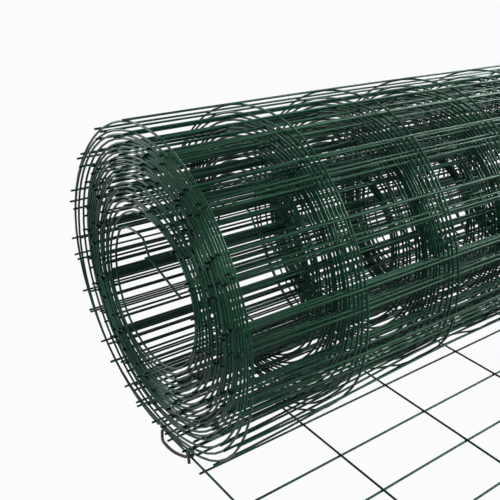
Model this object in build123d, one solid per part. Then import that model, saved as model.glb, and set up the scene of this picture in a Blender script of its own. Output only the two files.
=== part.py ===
from build123d import *
import math
import os

# Roll of coated welded wire fencing, lying on the floor with its outer end rolled out in front.
# X runs along the roll, the loose end points to -Y, and the floor is Z = 0.
# The origin is on the floor, in the middle of the whole outline. All sizes are in millimetres.

# The mesh sheet: line wires run round the roll, and cross wires run along it
sheet_width = 1000.0
line_pitch = 100.0
cross_pitch = 50.0
wire_diameter = 1.8
cross_wire_end = 4.5
line_wire_end = 3.0
weld_depth = 0.4
wire_sides = 6

# The wound turns, counted from the bore outwards
bore_diameter = 123.0
inner_loose_turns = 2
close_turns = 14
outer_loose_turns = 4
inner_loose_pitch = 5.0
close_pitch = 3.2
outer_loose_pitch = 5.0
end_groove_depth = 3.0

# The loose end on the floor, from the first cross wire clear of the roll to the last one
loose_length = 400.0
first_cross_offset = 72.0

# The sheet's inner end: it follows the bore's wall, leaves it and hangs across the bore.
# Angles are in degrees. The wall's is taken from the side of the loose end over the top,
# and the others are the rise of each run on its way to the free tip.
tail_wall_angle = 141.0
tail_wall_run = 10.0
tail_top_run = 33.0
tail_top_angle = 8.0
tail_corner_run = 6.0
tail_corner_angle = -22.0
tail_drop_run = 13.0
tail_drop_angle = -59.0
tail_free_run = 46.5
tail_free_angle = -18.0

# The tie wire at the front edge, bent forwards on the floor. Each bend has its share of the
# reach in front of the edge and its share of the span towards the loose end.
tie_diameter = 2.6
tie_start_offset = 8.0
tie_span = 42.0
tie_reach = 8.0
tie_floor_bends = ((0.4, 0.0), (0.85, 0.15), (1.0, 0.35), (1.0, 0.65), (0.6, 0.9))
tie_knot_reach = 0.4

# Air between the roll and the wires that lie against it
seat_gap = 0.3

# The turn that stands a flat drawing on its edge, in degrees
quarter_turn_angle = 90.0


# Sizes that follow from those above
wire_radius = wire_diameter / 2
cells_across = round(sheet_width / line_pitch)
loose_cells = round(loose_length / cross_pitch)
half_width = cells_across * line_pitch / 2
sheet_thickness = 2 * wire_diameter - weld_depth
bore_radius = bore_diameter / 2
cross_wire_length = 2 * (half_width + cross_wire_end)
tie_corner_radius = tie_diameter / 2 / math.cos(math.pi / wire_sides)
front_overhang = max(cross_wire_end, wire_radius + tie_reach + tie_corner_radius)
roll_middle_x = (front_overhang - cross_wire_end) / 2
front_edge_x = roll_middle_x - half_width


def turn_radii():
    """Inner radius of the edge wire on each turn, from the bore outwards."""
    pitches = (
        [inner_loose_pitch] * inner_loose_turns
        + [close_pitch] * close_turns
        + [outer_loose_pitch] * (outer_loose_turns - 1)
    )
    radii = [bore_radius]
    for pitch in pitches:
        radii.append(radii[-1] + pitch)
    return radii


roll_radius = turn_radii()[-1] + wire_diameter
loose_reach = first_cross_offset + loose_cells * cross_pitch + line_wire_end
roll_axis_y = (loose_reach - roll_radius) / 2
roll_axis_z = roll_radius


def wire_section(plane, diameter):
    """Few-sided section of a wire, its flat sides up and down, on the given plane."""
    flat_down = -quarter_turn_angle - 180 / wire_sides
    return plane * RegularPolygon(diameter / 2, wire_sides, major_radius=False, rotation=flat_down)


def straight_wire(start, direction, length):
    """One straight wire from a point, along X or Y."""
    plane = Plane(origin=start, x_dir=(direction[1], -direction[0], 0), z_dir=direction)
    return extrude(wire_section(plane, wire_diameter), length)


def end_outline():
    """Radius and depth of the wound end: a ridge for each turn's edge wire, grooves between."""
    radii = turn_radii()
    outline = [(radii[0], 0)]
    for inner, next_inner in zip(radii, radii[1:]):
        outline.append((inner + wire_radius, 0))
        outline.append(((inner + wire_diameter + next_inner) / 2, end_groove_depth))
    outline.append((radii[-1] + wire_radius, 0))
    outline.append((radii[-1] + wire_diameter, 0))
    return outline


def wound_turns():
    """The wound part of the sheet as one turned solid with its bore, its seam on top."""
    end_x = half_width + wire_radius
    front = [(-end_x + depth, radius) for radius, depth in end_outline()]
    back = [(end_x - depth, radius) for radius, depth in reversed(end_outline())]
    profile = Rot(quarter_turn_angle, 0, 0) * make_face(Polyline(*front, *back, close=True))
    return Pos(roll_middle_x, roll_axis_y, roll_axis_z) * revolve(profile, Axis.X, 360)


def line_wire_places():
    """X of every line wire, from the front edge of the roll to the back."""
    return [front_edge_x + index * line_pitch for index in range(cells_across + 1)]


def loose_end():
    """The rolled-out end as a flat welded grid, its line wires running up to the roll."""
    first_cross_y = roll_axis_y - first_cross_offset
    far_cross_y = first_cross_y - loose_cells * cross_pitch
    line_z = sheet_thickness - wire_radius
    wires = []
    for x in line_wire_places():
        start = (x, far_cross_y - line_wire_end, line_z)
        wires.append(straight_wire(start, (0, 1, 0), roll_axis_y - far_cross_y + line_wire_end))
    for index in range(loose_cells + 1):
        start = (front_edge_x - cross_wire_end, first_cross_y - index * cross_pitch, wire_radius)
        wires.append(straight_wire(start, (1, 0, 0), cross_wire_length))
    grid = wires[0].fuse(*wires[1:])
    clearance = Cylinder(roll_radius + seat_gap, 2 * cross_wire_length, rotation=(0, 90, 0))
    return grid - Pos(0, roll_axis_y, roll_axis_z) * clearance


def tail_points():
    """Line wire's centre from the bore's wall to its free tip, as (y, z) from the roll's axis."""
    wall_radius = bore_radius - seat_gap - sheet_thickness + wire_radius
    angle = math.radians(tail_wall_angle)
    y, z = -wall_radius * math.cos(angle), wall_radius * math.sin(angle)
    points = [(y + tail_wall_run * math.sin(angle), z + tail_wall_run * math.cos(angle)), (y, z)]
    runs = (
        (tail_top_run, tail_top_angle),
        (tail_corner_run, tail_corner_angle),
        (tail_drop_run, tail_drop_angle),
        (tail_free_run, tail_free_angle),
    )
    for length, rise in runs:
        y -= length * math.cos(math.radians(rise))
        z += length * math.sin(math.radians(rise))
        points.append((y, z))
    return points


def inner_end():
    """The sheet's inner end: bent line wires with a cross wire at the wall and one at the drop."""
    points = tail_points()
    path = Polyline(*[(0, roll_axis_y + y, roll_axis_z + z) for y, z in points])
    start_plane = Plane(origin=path @ 0, x_dir=(1, 0, 0), z_dir=path % 0)
    line_wire = sweep(wire_section(start_plane, wire_diameter), path, transition=Transition.RIGHT)
    wires = [Pos(x, 0, 0) * line_wire for x in line_wire_places()]
    lift = wire_diameter - weld_depth
    wall_rise = tail_wall_angle - quarter_turn_angle
    for (y, z), rise in ((points[1], wall_rise), (points[-2], tail_free_angle)):
        y += lift * math.sin(math.radians(rise))
        z += lift * math.cos(math.radians(rise))
        start = (front_edge_x - cross_wire_end, roll_axis_y + y, roll_axis_z + z)
        wires.append(straight_wire(start, (1, 0, 0), cross_wire_length))
    return wires[0].fuse(*wires[1:])


def tie_wire():
    """The tie wire on the floor, its two ends against the outer turn's edge wire."""
    face_x = front_edge_x - wire_radius
    far = tie_start_offset + tie_span
    floor_z = tie_diameter / 2
    knot_z = roll_axis_z - math.sqrt((roll_radius - wire_radius) ** 2 - far**2)
    points = [(-seat_gap, -tie_start_offset, floor_z)]
    for reach, span in tie_floor_bends:
        points.append((-reach * tie_reach, -tie_start_offset - span * tie_span, floor_z))
    points.append((-tie_knot_reach * tie_reach, -far, knot_z))
    points.append((-seat_gap, -far, knot_z))
    path = Polyline(*[(face_x + x, roll_axis_y + y, z) for x, y, z in points])
    start_plane = Plane(origin=path @ 0, x_dir=(0, 1, 0), z_dir=path % 0)
    return sweep(wire_section(start_plane, tie_diameter), path, transition=Transition.RIGHT)


def write(node, shape):
    """Write one node's solid to its own STEP file."""
    export_step(shape, f"parts/{node}.step")


os.makedirs("parts", exist_ok=True)
write("wound_turns", wound_turns())
write("loose_end", loose_end())
write("inner_end", inner_end())
write("tie_wire", tie_wire())
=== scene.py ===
import math

import bpy
from mathutils import Matrix, Vector


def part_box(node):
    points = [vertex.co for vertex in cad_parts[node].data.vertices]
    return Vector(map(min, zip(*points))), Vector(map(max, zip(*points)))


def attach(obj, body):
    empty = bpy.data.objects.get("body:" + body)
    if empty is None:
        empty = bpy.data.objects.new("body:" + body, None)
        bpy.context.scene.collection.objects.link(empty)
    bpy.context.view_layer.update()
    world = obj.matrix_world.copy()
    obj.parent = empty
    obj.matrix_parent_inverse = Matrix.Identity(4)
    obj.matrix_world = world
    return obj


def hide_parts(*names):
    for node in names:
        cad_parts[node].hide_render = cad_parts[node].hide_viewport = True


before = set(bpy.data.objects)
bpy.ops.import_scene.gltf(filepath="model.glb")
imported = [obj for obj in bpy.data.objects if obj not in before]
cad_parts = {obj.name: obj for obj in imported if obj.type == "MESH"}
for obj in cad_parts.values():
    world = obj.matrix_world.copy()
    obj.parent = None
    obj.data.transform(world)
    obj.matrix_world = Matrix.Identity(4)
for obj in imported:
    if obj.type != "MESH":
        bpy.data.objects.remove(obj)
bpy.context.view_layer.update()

# Roll of green coated welded fencing. Sizes are in metres unless a comment says otherwise.
# X runs along the roll, the loose end points to -Y, and the floor is Z = 0.

millimetre = 0.001

# The mesh sheet. Line wires run round the roll. Cross wires run along it and lie on its outer side.
wire_diameter = 0.0019
wire_radius = wire_diameter / 2
wire_sides = 8
line_pitch = 0.1
line_wire_count = 11
line_wire_end = 0.003
cross_pitch = 0.05
cross_wire_end = 0.0045
cross_wire_points = 31

# The welds: how deep the two wires sink into each other, and the small flattened swelling of the
# coat there, with the least and most of its varying size
weld_depth = 0.0005
weld_radius = 0.00155
weld_sizes = (0.85, 1.1)
weld_flatness = 0.8
weld_seed = 4

# From a line wire's centre out to the centre of the cross wires on it
cross_lift = wire_diameter - weld_depth

# Where the CAD frame has the front edge wire and the loose end's tip, the height of the line wires
# that lie on the floor, and the steps along them
front_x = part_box("wound_turns")[0].x + wire_radius
loose_tip_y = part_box("loose_end")[0].y
floor_line_z = wire_diameter + wire_radius - weld_depth
loose_steps = 20

# The middle that the turns are measured from: its place on Y and its height
middle = Vector((0.1681, 0.1334))

# The roll has sagged: it is a little wider than high
sag_width = 1.015
sag_height = 1.008

# Reach of each named turn from that middle, in millimetres, in eight directions. The first is
# almost straight down, then on towards the back, over the top and down the side of the loose end.
# Turns not named lie evenly between their neighbours.
turn_reach = {
    0: (130.0, 135.2, 141.2, 133.8, 130.8, 127.8, 133.0, 138.8),
    1: (126.2, 133.2, 139.2, 130.2, 123.2, 124.4, 127.4, 132.5),
    2: (124.2, 131.2, 130.3, 126.2, 120.2, 120.6, 123.4, 127.6),
    3: (121.7, 119.5, 122.5, 121.8, 117.6, 116.6, 119.4, 121.4),
    4: (114.6, 110.8, 114.4, 116.8, 115.0, 113.4, 116.2, 118.0),
    12: (93.4, 93.1, 93.0, 92.5, 89.0, 91.3, 92.5, 92.5),
    13: (90.0, 90.6, 90.2, 89.0, 82.5, 82.0, 85.0, 87.5),
    15: (85.3, 86.2, 85.0, 83.4, 75.0, 75.4, 77.5, 80.5),
    16: (82.8, 83.8, 82.3, 80.0, 69.0, 69.8, 72.0, 76.0),
    17: (79.2, 81.5, 79.6, 76.2, 66.5, 67.2, 68.7, 71.4),
    18: (73.0, 79.0, 77.0, 71.0, 64.2, 64.9, 65.8, 67.2),
    19: (67.0, 71.9, 69.8, 65.9, 61.9, 62.6, 62.9, 63.2),
    20: (62.2, 61.9, 60.4, 59.9, 59.6, 59.6, 59.6, 59.6),
}
last_turn = 20
direction_count = 8
direction_step = 360 / direction_count
samples_each_turn = 60

# Angles in degrees: the first of those directions, and where the last turn leaves the bore's wall
first_angle = 268.6
inner_end_angle = 141.0

# The sheet wanders a little along the roll, in two waves, whose rates are in radians for each
# eighth of a turn. It starts in line with the loose end and wanders freely after four eighths.
wander = 0.0005
quick_wave = 0.61
slow_wave = 0.23
slow_wave_start = 1.0
wander_forwards = 0.0004
wander_free_after = 4

# The inner end leaves the bore's wall and hangs across it. Each place is from the middle, towards
# the back and up, in millimetres. The last bend is the eighth place.
inner_end_places = (
    (41.0, 40.3), (32.0, 42.3), (22.0, 42.9), (13.5, 42.5), (9.0, 40.8), (6.5, 37.4),
    (3.9, 32.8), (1.1, 28.9), (-6.0, 26.2), (-20.0, 21.6), (-43.2, 14.2),
)
last_bend_place = 8

# Where cross wires are known to be: the number of cells between the loose end's first and last one
# on the floor, the angle of the outer turn's top one in degrees, and the turns whose top ones lie
# side by side, counted inwards from the outer turn
floor_cells = 9
top_wire_angle = 98.0
aligned_turns = (0, 2, 4)

# A cross wire that is this little short of the inner end's start belongs to the inner end
inner_end_allowance = 0.001

# The sheet's departures from its even winding: a slow unevenness, the outer turns' fullness behind
# the front edge and their tucking in near the floor, and the share of its height by which the roll
# sinks towards its far end
departure = {"Unevenness": 0.0016, "Fullness": 0.0045, "Tucking": 0.009, "Sinking": 0.03}
unevenness_scale = 4.5

# Where each departure grows from none to all of it: along the roll, outwards from the middle,
# sideways from the middle towards the loose end, and up from the floor. What grows downwards has
# its higher place first.
full_along = (front_x, front_x + 0.11)
full_reach = (0.108, 0.128)
full_sideways = (-0.015, 0.06)
full_upwards = (0.03, 0.11)
tucked_along = (front_x, front_x + 0.25)
tucked_reach = (0.12, 0.134)
tucked_sideways = (0.03, 0.07)
tucked_upwards = (0.004, 0.02)
tucked_downwards = (0.09, 0.045)
sunk_along = (front_x + 0.05, front_x + 0.75)
free_of_floor = (0.003, 0.03)

# The tie wire on the floor in front of the edge. Each place is forwards from the front line wire,
# towards the back from the start on Y, and up, in millimetres.
tie_diameter = 0.0026
tie_sides = 12
tie_start_y = 0.16895
tie_places = (
    (1.6, -5.7, 1.4), (5.2, -12.1, 1.4), (7.8, -17.5, 1.4), (8.2, -23.3, 1.4), (8.1, -31.0, 1.4),
    (6.9, -37.6, 1.4), (5.0, -42.4, 1.5), (3.4, -47.3, 2.2), (1.0, -50.5, 4.0), (-2.2, -50.8, 5.6),
    (-2.4, -48.6, 7.4), (0.6, -47.2, 7.6), (2.6, -48.6, 5.4), (1.8, -51.2, 3.6), (-1.4, -52.0, 4.4),
    (-2.4, -50.0, 7.0), (0.4, -48.9, 8.6), (2.8, -51.0, 6.4), (4.4, -54.4, 3.0), (4.9, -55.6, 1.6),
)

# How white the floor is where it is seen as background, and how bright the world is for the rays
# that don't see it as background
floor_size = 16
floor_white = 0.97
world_dim = 0.003


def reach_at(eighths):
    """Reach of the winding after so many eighth turns, along a smooth curve through the table."""
    def knot(index):
        turn, direction = divmod(max(index, 0), direction_count)
        below = max(named for named in turn_reach if named <= turn)
        above = min(named for named in turn_reach if named >= turn)
        low = turn_reach[below][direction]
        high = turn_reach[above][direction]
        share = (turn - below) / (above - below) if above > below else 0
        return low + (high - low) * share

    index = int(eighths)
    part = eighths - index
    before, start, end, after = (knot(index + offset) for offset in (-1, 0, 1, 2))
    slope_in = (end - before) / 2 if index > 0 else 0
    slope_out = (after - start) / 2
    square = part ** 2
    cube = part ** 3
    return millimetre * (
        start * (2 * cube - 3 * square + 1) + end * (3 * square - 2 * cube)
        + slope_in * (cube - 2 * square + part) + slope_out * (cube - square)
    )


def sagged(x, back, up):
    """Place on the sagged roll of a point that was wound so far back from the middle and up."""
    return Vector((x, middle.x + sag_width * back, middle.y + sag_height * up))


def wandered(eighths):
    """How far the sheet has wandered along the roll, as each turn lies a little out of line."""
    quick = wander * math.sin(quick_wave * eighths)
    slow = wander * math.sin(slow_wave * eighths + slow_wave_start)
    return (quick + slow - wander_forwards) * min(1, eighths / wander_free_after)


def loose_path():
    """Centre of the front line wire on the floor, from its far tip to straight below the middle."""
    length = middle.x - loose_tip_y
    points = []
    for step in range(loose_steps + 1):
        y = loose_tip_y + length * step / loose_steps
        points.append(Vector((front_x, y, floor_line_z)))
    return points


def wound_path():
    """Centre of the front line wire from the foot of the outer turn to the bore's wall."""
    turns = last_turn + (first_angle - inner_end_angle) / 360
    steps = round(turns * samples_each_turn)
    points = []
    for step in range(steps + 1):
        eighths = direction_count * turns * step / steps
        angle = math.radians(first_angle - direction_step * eighths)
        reach = reach_at(eighths)
        x = front_x + wandered(eighths)
        points.append(sagged(x, -reach * math.cos(angle), reach * math.sin(angle)))
    return points


def inner_path(start):
    """Centre of the front line wire from its last place on the bore's wall to its free tip."""
    points = [start]
    for back, up in inner_end_places:
        points.append(sagged(start.x, millimetre * back, millimetre * up))
    return points


def along(points):
    """Length of the path up to each of its points."""
    lengths = [0.0]
    for first, second in zip(points, points[1:]):
        lengths.append(lengths[-1] + (second - first).length)
    return lengths


def place_on(points, lengths, distance):
    """Point of the path at a distance along it, and the direction away from the middle there."""
    index = max(i for i, length in enumerate(lengths[:-1]) if length <= distance)
    span = lengths[index + 1] - lengths[index]
    run = points[index + 1] - points[index]
    point = points[index] + run * (distance - lengths[index]) / span
    inward = Vector((0, -run.z, run.y)).normalized()
    return point, -inward


class Value:
    """One output of a node, with the sums that the finishes and shapes use."""

    def __init__(self, net, socket):
        self.net = net
        self.socket = socket

    def other(self, name):
        """Another output of the same node."""
        return Value(self.net, self.socket.node.outputs[name])

    def __add__(self, other):
        return self.net.maths("ADD", self, other)

    def __radd__(self, other):
        return self.net.maths("ADD", other, self)

    def __sub__(self, other):
        return self.net.maths("SUBTRACT", self, other)

    def __rsub__(self, other):
        return self.net.maths("SUBTRACT", other, self)

    def __mul__(self, other):
        return self.net.maths("MULTIPLY", self, other)

    def __rmul__(self, other):
        return self.net.maths("MULTIPLY", other, self)


class Net:
    """A node tree, and the one way that nodes are added to it."""

    def __init__(self, tree):
        self.tree = tree

    def add(self, kind, settings=None, sockets=None, out=0):
        """A new node with its settings, and the values or links of its sockets."""
        node = self.tree.nodes.new(kind)
        for name, setting in (settings or {}).items():
            if name == "stops":
                for stop, (position, colour) in zip(node.color_ramp.elements, setting):
                    stop.position = position
                    stop.color = (*colour, 1)
            else:
                setattr(node, name, setting)
        for name, content in (sockets or {}).items():
            self.feed(node.inputs[name], content)
        return Value(self, node.outputs[out]) if len(node.outputs) else node

    def feed(self, socket, content):
        """Link a node's output to a socket, or give the socket a fixed value."""
        if isinstance(content, Value):
            self.tree.links.new(content.socket, socket)
        else:
            socket.default_value = content

    def maths(self, operation, first, second):
        return self.add("ShaderNodeMath", {"operation": operation}, {0: first, 1: second})

    def noise(self, place, scale, detail, out=0):
        sockets = {"Vector": place, "Scale": scale, "Detail": detail}
        return self.add("ShaderNodeTexNoise", None, sockets, out)

    def mix_colours(self, share, first, second):
        """Mix of two colours by a share. The node's colour sockets are known by number only."""
        sockets = {0: share, 6: first, 7: second}
        return self.add("ShaderNodeMix", {"data_type": "RGBA"}, sockets, out=2)

    def sees_background(self):
        """1 for the rays that see the white background, else 0."""
        ray = self.add("ShaderNodeLightPath", out="Is Camera Ray")
        passed = self.maths("MAXIMUM", ray, ray.other("Is Transmission Ray"))
        return self.maths("MAXIMUM", passed, ray.other("Is Glossy Ray"))


class Finish(Net):
    """A new material with its shader, whose constant values are set straight on the shader."""

    def __init__(self, name, **constants):
        self.material = bpy.data.materials.new(name)
        self.material.use_nodes = True
        super().__init__(self.material.node_tree)
        self.shader = self.tree.nodes["Principled BSDF"]
        for socket, value in constants.items():
            self.varies(socket.replace("_", " "), value)
        self.place = self.add("ShaderNodeTexCoord", out="Object")

    def varies(self, socket, content):
        """Feed one of the shader's sockets."""
        self.feed(self.shader.inputs[socket], content)

    def bumps(self, height, strength):
        """Small bumps of the surface, 0.2 mm high at full strength."""
        sockets = {"Strength": strength, "Distance": 0.0002, "Height": height}
        self.varies("Normal", self.add("ShaderNodeBump", None, sockets))


def green_coat():
    """Dark green plastic coat: uneven in colour and gloss, with the ripple of drawn plastic."""
    coat = Finish("green_coat", IOR=1.5, Specular_IOR_Level=0.25, Specular_Tint=(0.4, 1, 0.7, 1))
    patches = coat.noise(coat.place, 14.0, 3.0)
    streaks = coat.noise(coat.place, 160.0, 2.0)
    ripple = coat.noise(coat.place, 900.0, 1.0)
    dark_green, light_green = (0.0003, 0.013, 0.006), (0.0008, 0.042, 0.021)
    dull_green = (0.01, 0.06, 0.035, 1)
    stops = {"stops": ((0.3, dark_green), (0.7, light_green))}
    tone = coat.add("ShaderNodeValToRGB", stops, {"Fac": patches * 0.7 + streaks * 0.3})
    coat.varies("Base Color", coat.mix_colours(streaks * 0.05, tone, dull_green))
    coat.varies("Roughness", 0.2 + 0.18 * patches)
    coat.bumps(ripple, 0.15)
    return coat.material


def black_coat():
    """Black tie wire: dull plastic with small scuffs."""
    coat = Finish("black_coat", IOR=1.45)
    scuffs = coat.noise(coat.place, 420.0, 4.0)
    black, scuffed_black = (0.006, 0.006, 0.0065, 1), (0.02, 0.02, 0.021, 1)
    coat.varies("Base Color", coat.mix_colours(scuffs, black, scuffed_black))
    coat.varies("Roughness", 0.45 + 0.2 * scuffs)
    coat.bumps(scuffs, 0.3)
    return coat.material


def pale_floor():
    """Floor that is white as background, also in reflections and through clear things, but throws
    little light back up at the wires."""
    ground = Finish("pale_floor", Roughness=0.9, Specular_IOR_Level=0.1)
    grain = ground.noise(ground.place, 3.0, 2.0)
    tone = ground.mix_colours(grain, (0.04, 0.04, 0.04, 1), (0.06, 0.06, 0.06, 1))
    ground.varies("Base Color", tone)
    seen = ground.sees_background() * floor_white
    lit = Value(ground, ground.shader.outputs[0])
    white = ground.add("ShaderNodeEmission", None, {"Color": (1, 1, 1, 1), "Strength": 1.0})
    mixed = ground.add("ShaderNodeMixShader", None, {0: seen, 1: lit, 2: white})
    ground.feed(ground.tree.nodes["Material Output"].inputs["Surface"], mixed)
    return ground.material


class Shape(Net):
    """A Geometry Nodes tree with named inputs, ending in realized instances and one material. Each
    has inputs for the sheet's departures and its coat besides its own."""

    def __init__(self, name, **own_inputs):
        super().__init__(bpy.data.node_groups.new(name, "GeometryNodeTree"))
        interface = self.tree.interface
        interface.new_socket("Geometry", in_out="INPUT", socket_type="NodeSocketGeometry")
        interface.new_socket("Geometry", in_out="OUTPUT", socket_type="NodeSocketGeometry")
        kinds = dict(own_inputs)
        kinds.update({title: "Float" for title in departure})
        kinds["Coat"] = "Material"
        self.identifiers = {}
        for title, kind in kinds.items():
            socket = interface.new_socket(
                title.replace("_", " "), in_out="INPUT", socket_type="NodeSocket" + kind
            )
            self.identifiers[title] = socket.identifier
        self.given = self.add("NodeGroupInput")

    def input(self, title):
        """One of the named inputs."""
        return self.given.other(title.replace("_", " "))

    def growing(self, value, start, end):
        """A share that grows smoothly from 0 to 1 while a value goes from start to end."""
        sockets = {"Value": value, "From Min": start, "From Max": end}
        return self.add("ShaderNodeMapRange", {"interpolation_type": "SMOOTHSTEP"}, sockets)

    def vector(self, **parts):
        return self.add("ShaderNodeCombineXYZ", None, parts)

    def vector_maths(self, operation, first, second):
        return self.add("ShaderNodeVectorMath", {"operation": operation}, {0: first, 1: second})

    def scaled(self, vector, scale):
        sockets = {0: vector, "Scale": scale}
        return self.add("ShaderNodeVectorMath", {"operation": "SCALE"}, sockets)

    def realized(self, geometry):
        return self.add("GeometryNodeRealizeInstances", None, {"Geometry": geometry})

    def across_sheet(self, instance):
        """Copies of a mesh side by side, one for each line wire."""
        step = self.vector(X=self.input("Spacing"))
        sockets = {"Count": self.input("Count"), "Offset": step}
        places = self.add("GeometryNodeMeshLine", None, sockets)
        sockets = {"Points": places, "Instance": instance}
        return self.realized(self.add("GeometryNodeInstanceOnPoints", None, sockets))

    def shaken(self, geometry):
        """Every point moved by one slow, fixed unevenness, by the outer turns' fullness on the side
        of the loose end and their tucking in below it, and by the roll's sinking towards its far
        end. At the floor nothing moves up or down."""
        place = self.add("GeometryNodeInputPosition")
        x = self.add("ShaderNodeSeparateXYZ", None, {0: place})
        y = x.other("Y")
        z = x.other("Z")
        above_floor = self.growing(z, *free_of_floor)

        noise = self.noise(place, unevenness_scale, 1.0, out="Color")
        centred = self.vector_maths("SUBTRACT", noise, (0.5, 0.5, 0.5))
        allowed = self.vector(X=1.0, Y=1.0, Z=above_floor)
        uneven = self.scaled(
            self.vector_maths("MULTIPLY", centred, allowed), self.input("Unevenness")
        )

        sideways = middle.x - y
        arm = self.vector(Y=y - middle.x, Z=z - middle.y)
        reach = self.add("ShaderNodeVectorMath", {"operation": "LENGTH"}, {0: arm}, out="Value")
        full = (
            self.growing(x, *full_along) * self.growing(reach, *full_reach)
            * self.growing(sideways, *full_sideways) * self.growing(z, *full_upwards)
            * self.input("Fullness")
        )
        tucked = (
            self.growing(x, *tucked_along) * self.growing(reach, *tucked_reach)
            * self.growing(sideways, *tucked_sideways) * self.growing(z, *tucked_upwards)
            * self.growing(z, *tucked_downwards) * self.input("Tucking")
        )
        outward = self.add("ShaderNodeVectorMath", {"operation": "NORMALIZE"}, {0: arm})
        swollen = self.scaled(outward, full - tucked)

        sunk = self.growing(x, *sunk_along) * self.input("Sinking") * z * above_floor
        lowered = self.vector(Z=0.0 - sunk)
        offset = self.vector_maths("ADD", self.vector_maths("ADD", uneven, swollen), lowered)
        sockets = {"Geometry": geometry, "Offset": offset}
        return self.add("GeometryNodeSetPosition", None, sockets)

    def wires(self, lines):
        """Round wires with closed ends along the edges of a mesh."""
        curve = self.add("GeometryNodeMeshToCurve", None, {"Mesh": lines})
        sockets = {"Resolution": self.input("Sides"), "Radius": self.input("Wire_diameter") * 0.5}
        ring = self.add("GeometryNodeCurvePrimitiveCircle", None, sockets)
        sockets = {"Curve": curve, "Profile Curve": ring, "Fill Caps": True}
        return self.add("GeometryNodeCurveToMesh", None, sockets)

    def end(self, geometry):
        """Smooth shading, real geometry, the coat, and the tree's output."""
        smooth = self.add("GeometryNodeSetShadeSmooth", None, {"Geometry": geometry})
        sockets = {"Geometry": self.realized(smooth), "Material": self.input("Coat")}
        self.add("NodeGroupOutput", None, {0: self.add("GeometryNodeSetMaterial", None, sockets)})


def line_wire_shape():
    """Repeats one line wire's path across the sheet and gives it its thickness."""
    shape = Shape("line_wires", Count="Int", Spacing="Float", Wire_diameter="Float", Sides="Int")
    lines = shape.across_sheet(shape.given)
    shape.end(shape.wires(shape.shaken(lines)))
    return shape


def cross_wire_shape():
    """Puts one straight cross wire on each given point, which follows the sheet's departures."""
    shape = Shape("cross_wires", Length="Float", Steps="Int", Wire_diameter="Float", Sides="Int")
    part = shape.maths("DIVIDE", shape.input("Length"), shape.input("Steps") - 1)
    sockets = {"Count": shape.input("Steps"), "Offset": shape.vector(X=part)}
    wire = shape.add("GeometryNodeMeshLine", None, sockets)
    sockets = {"Points": shape.given, "Instance": wire}
    lines = shape.realized(shape.add("GeometryNodeInstanceOnPoints", None, sockets))
    shape.end(shape.wires(shape.shaken(lines)))
    return shape


def weld_shape():
    """Puts a small swelling of the coat at every weld, lying flat in the sheet."""
    shape = Shape("welds", Count="Int", Spacing="Float", Weld_radius="Float", Seed="Int")
    points = shape.shaken(shape.across_sheet(shape.given))
    outward = shape.add(
        "GeometryNodeInputNamedAttribute", {"data_type": "FLOAT_VECTOR"}, {"Name": "outward"}
    )
    turned = shape.add("FunctionNodeAlignRotationToVector", {"axis": "Z"}, {"Vector": outward})
    sockets = {"Radius": shape.input("Weld_radius"), "Subdivisions": 1}
    swelling = shape.add("GeometryNodeMeshIcoSphere", None, sockets)
    sockets = {"Min": weld_sizes[0], "Max": weld_sizes[1], "Seed": shape.input("Seed")}
    size = shape.add("FunctionNodeRandomValue", {"data_type": "FLOAT"}, sockets, out=1)
    scale = shape.vector(X=size, Y=size, Z=size * weld_flatness)
    sockets = {"Points": points, "Instance": swelling, "Rotation": turned, "Scale": scale}
    shape.end(shape.realized(shape.add("GeometryNodeInstanceOnPoints", None, sockets)))
    return shape


def shaped(name, points, edges, shape, outwards=None, **inputs):
    """Mesh that a shape makes from some points and edges."""
    source = bpy.data.meshes.new(name + "_source")
    source.from_pydata([tuple(point) for point in points], edges, [])
    if outwards:
        attribute = source.attributes.new("outward", "FLOAT_VECTOR", "POINT")
        attribute.data.foreach_set("vector", [part for outward in outwards for part in outward])
    carrier = bpy.data.objects.new(name + "_source", source)
    bpy.context.scene.collection.objects.link(carrier)
    modifier = carrier.modifiers.new("shape", "NODES")
    modifier.node_group = shape.tree
    for title, value in {**inputs, **departure, "Coat": green}.items():
        modifier[shape.identifiers[title]] = value
    bpy.context.view_layer.update()
    evaluated = carrier.evaluated_get(bpy.context.evaluated_depsgraph_get())
    mesh = bpy.data.meshes.new_from_object(evaluated)
    carrier.modifiers.remove(modifier)
    bpy.data.objects.remove(carrier)
    bpy.data.meshes.remove(source)
    return mesh


def piece(name, meshes, node):
    """One piece from some meshes, standing for a CAD node and riding on the part's one body."""
    joined = bpy.data.objects.new(name, meshes[0])
    bpy.context.scene.collection.objects.link(joined)
    if len(meshes) > 1:
        others = [bpy.data.objects.new(name + "_part", mesh) for mesh in meshes[1:]]
        for other in others:
            bpy.context.scene.collection.objects.link(other)
        chosen = [joined, *others]
        with bpy.context.temp_override(active_object=joined, selected_editable_objects=chosen):
            bpy.ops.object.join()
    joined.data.name = name
    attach(joined, "root")
    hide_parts(node)
    return joined


def line_wires(name, points, first, count):
    """Some neighbouring line wires, from the front one's path."""
    moved = [point + Vector((first * line_pitch, 0, 0)) for point in points]
    edges = [(index, index + 1) for index in range(len(moved) - 1)]
    return shaped(name, moved, edges, line_shape, Count=count, Spacing=line_pitch,
                  Wire_diameter=wire_diameter, Sides=wire_sides)


def cross_wires(name, places):
    """A cross wire on the outer side of each place."""
    end = Vector((cross_wire_end, 0, 0))
    starts = [point + outward * cross_lift - end for point, outward in places]
    length = (line_wire_count - 1) * line_pitch + 2 * cross_wire_end
    return shaped(name, starts, [], cross_shape, Length=length, Steps=cross_wire_points,
                  Wire_diameter=wire_diameter, Sides=wire_sides)


def welds(name, places):
    """The welds along the cross wire of each place."""
    centres = [point + outward * cross_lift / 2 for point, outward in places]
    outwards = [tuple(outward) for point, outward in places]
    return shaped(name, centres, [], weld_points, outwards, Count=line_wire_count,
                  Spacing=line_pitch, Weld_radius=weld_radius, Seed=weld_seed)


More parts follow.
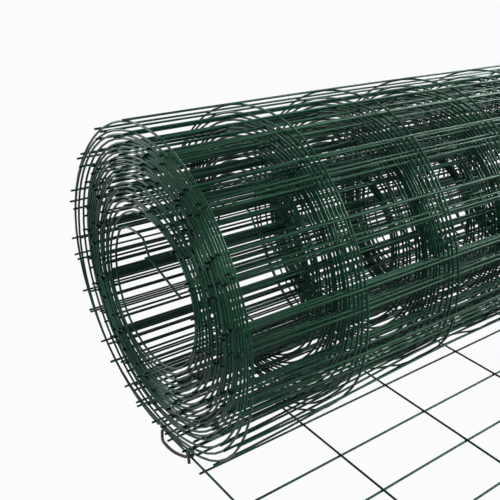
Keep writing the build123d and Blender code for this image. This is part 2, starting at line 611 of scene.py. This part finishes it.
def short_stretch(name, path):
    """All the wires and welds of the sheet's loose or inner stretch."""
    return [
        line_wires(name + "_lines", path, 0, line_wire_count),
        cross_wires(name + "_cross", stretches[name]),
        welds(name + "_welds", stretches[name]),
    ]


def bent_wire(name, points, diameter, sides, material):
    """A smooth wire through the given places, with closed ends."""
    curve = bpy.data.curves.new(name, "CURVE")
    curve.dimensions = "3D"
    curve.bevel_depth = diameter / 2
    curve.bevel_resolution = sides // 2 - 2
    curve.use_fill_caps = True
    spline = curve.splines.new("NURBS")
    spline.points.add(len(points) - 1)
    for point, place in zip(spline.points, points):
        point.co = (*place, 1)
    spline.order_u = 3
    spline.use_endpoint_u = True
    spline.resolution_u = 4
    carrier = bpy.data.objects.new(name, curve)
    bpy.context.scene.collection.objects.link(carrier)
    bpy.context.view_layer.update()
    evaluated = carrier.evaluated_get(bpy.context.evaluated_depsgraph_get())
    mesh = bpy.data.meshes.new_from_object(evaluated)
    bpy.data.objects.remove(carrier)
    mesh.materials.clear()
    mesh.materials.append(material)
    for face in mesh.polygons:
        face.use_smooth = True
    return mesh


green = green_coat()
black = black_coat()
line_shape = line_wire_shape()
cross_shape = cross_wire_shape()
weld_points = weld_shape()

# The front line wire's whole path, from the loose end's tip to the inner end's
loose = loose_path()
wound = wound_path()
inner = inner_path(wound[-1])
whole = loose[:-1] + wound[:-1] + inner
lengths = along(whole)
wound_index = len(loose) - 1
inner_index = wound_index + len(wound) - 1

# Known places of cross wires along it: the loose end's first and last one on the floor, the top
# ones of the aligned turns, and the one at the last bend of the inner end. The others lie evenly
# between them.
top_index = wound_index + round((first_angle - top_wire_angle) / 360 * samples_each_turn)
known_places = [line_wire_end, line_wire_end + floor_cells * cross_pitch]
known_places += [lengths[top_index + turn * samples_each_turn] for turn in aligned_turns]
known_places += [lengths[inner_index + last_bend_place]]
distances = [line_wire_end]
for start, end in zip(known_places, known_places[1:]):
    cells = round((end - start) / cross_pitch)
    distances += [start + (end - start) * step / cells for step in range(1, cells + 1)]

# The cross wires' places, sorted into the three stretches of the sheet
stretches = {"loose": [], "wound": [], "inner": []}
for distance in distances:
    if distance < lengths[wound_index]:
        stretch = "loose"
    elif distance < lengths[inner_index] - inner_end_allowance:
        stretch = "wound"
    else:
        stretch = "inner"
    stretches[stretch].append(place_on(whole, lengths, distance))

# The wound line wires are two pieces, so that each stays well under 200,000 triangles
front_count = 6
back_count = line_wire_count - front_count
front_wires = line_wires("wound_front", wound, 0, front_count)
back_wires = line_wires("wound_back", wound, front_count, back_count)
wound_cross = cross_wires("wound_cross", stretches["wound"])
wound_welds = welds("wound_welds", stretches["wound"])
piece("wound_line_wires_front", [front_wires], "wound_turns")
piece("wound_line_wires_back", [back_wires], "wound_turns")
piece("wound_cross_wires", [wound_cross], "wound_turns")
piece("wound_welds", [wound_welds], "wound_turns")
piece("loose_end_mesh", short_stretch("loose", loose), "loose_end")
piece("inner_end_mesh", short_stretch("inner", inner), "inner_end")

tie_points = []
for forwards, back, up in tie_places:
    y = tie_start_y + millimetre * back
    tie_points.append(Vector((front_x - millimetre * forwards, y, millimetre * up)))
tie = bent_wire("tie", tie_points, tie_diameter, tie_sides, black)
piece("tie_wire_bent", [tie], "tie_wire")

# Plain white studio: the floor, the world and five soft lamps
bpy.ops.mesh.primitive_plane_add(size=floor_size, location=(0, 0, 0))
floor = bpy.context.object
floor.name = "studio_floor"
floor.data.materials.append(pale_floor())

scene = bpy.context.scene
world = bpy.data.worlds.new("studio")
scene.world = world
world.use_nodes = True
sky = Net(world.node_tree)
background = world.node_tree.nodes["Background"]
background.inputs["Color"].default_value = (1, 1, 1, 1)
sky.feed(background.inputs["Strength"], world_dim + (1 - world_dim) * sky.sees_background())


def lamp(name, place, target, size, power):
    """A soft square lamp facing a place on the roll."""
    light = bpy.data.lights.new(name, "AREA")
    light.shape = "SQUARE"
    light.size = size
    light.energy = power
    holder = bpy.data.objects.new(name, light)
    scene.collection.objects.link(holder)
    holder.location = place
    towards = Vector(target) - Vector(place)
    holder.rotation_euler = towards.to_track_quat("-Z", "Y").to_euler()


lamp("lamp_left", (-1.1, 2.25, 0.6), (-0.5, 0.17, 0.13), size=2.0, power=46)
lamp("lamp_front", (-2.3, 0.0, 0.4), (-0.5, 0.17, 0.13), size=0.6, power=10)
lamp("lamp_right", (0.8, -1.1, 1.1), (-0.35, 0.08, 0.2), size=0.3, power=19)
lamp("lamp_far", (1.8, -0.5, 1.25), (-0.1, 0.1, 0.1), size=0.4, power=66)
lamp("lamp_back", (1.5, 1.6, 0.9), (-0.1, 0.1, 0.1), size=0.4, power=8)

# The camera stands in front of the tied edge, to the side of the loose end, and looks down on the
# roll. Its angles are in degrees, and its lens and sensor in millimetres.
camera_place = Vector((-0.73985, -0.30545, 0.4145))
camera_azimuth, camera_elevation, camera_roll = -39.14, 25.63, 1.84
camera_focal_length = 54.27
camera_sensor_width = 36
camera_shift = (-0.09, 0.02)
angles = (camera_azimuth, camera_elevation, camera_roll)
azimuth, elevation, roll = (math.radians(angle) for angle in angles)
forward = Vector((
    -math.sin(azimuth) * math.cos(elevation),
    math.cos(azimuth) * math.cos(elevation),
    -math.sin(elevation),
))
level = forward.cross(Vector((0, 0, 1))).normalized()
upright = level.cross(forward)
right = level * math.cos(roll) + upright * math.sin(roll)
up = upright * math.cos(roll) - level * math.sin(roll)
lens = bpy.data.cameras.new("camera")
lens.lens = camera_focal_length
lens.sensor_width = camera_sensor_width
lens.clip_start = 0.01
lens.shift_x, lens.shift_y = camera_shift
camera = bpy.data.objects.new("camera", lens)
scene.collection.objects.link(camera)
camera.matrix_world = Matrix((
    (right.x, up.x, -forward.x, camera_place.x),
    (right.y, up.y, -forward.y, camera_place.y),
    (right.z, up.z, -forward.z, camera_place.z),
    (0, 0, 0, 1),
))
scene.camera = camera
scene.view_settings.view_transform = "Standard"
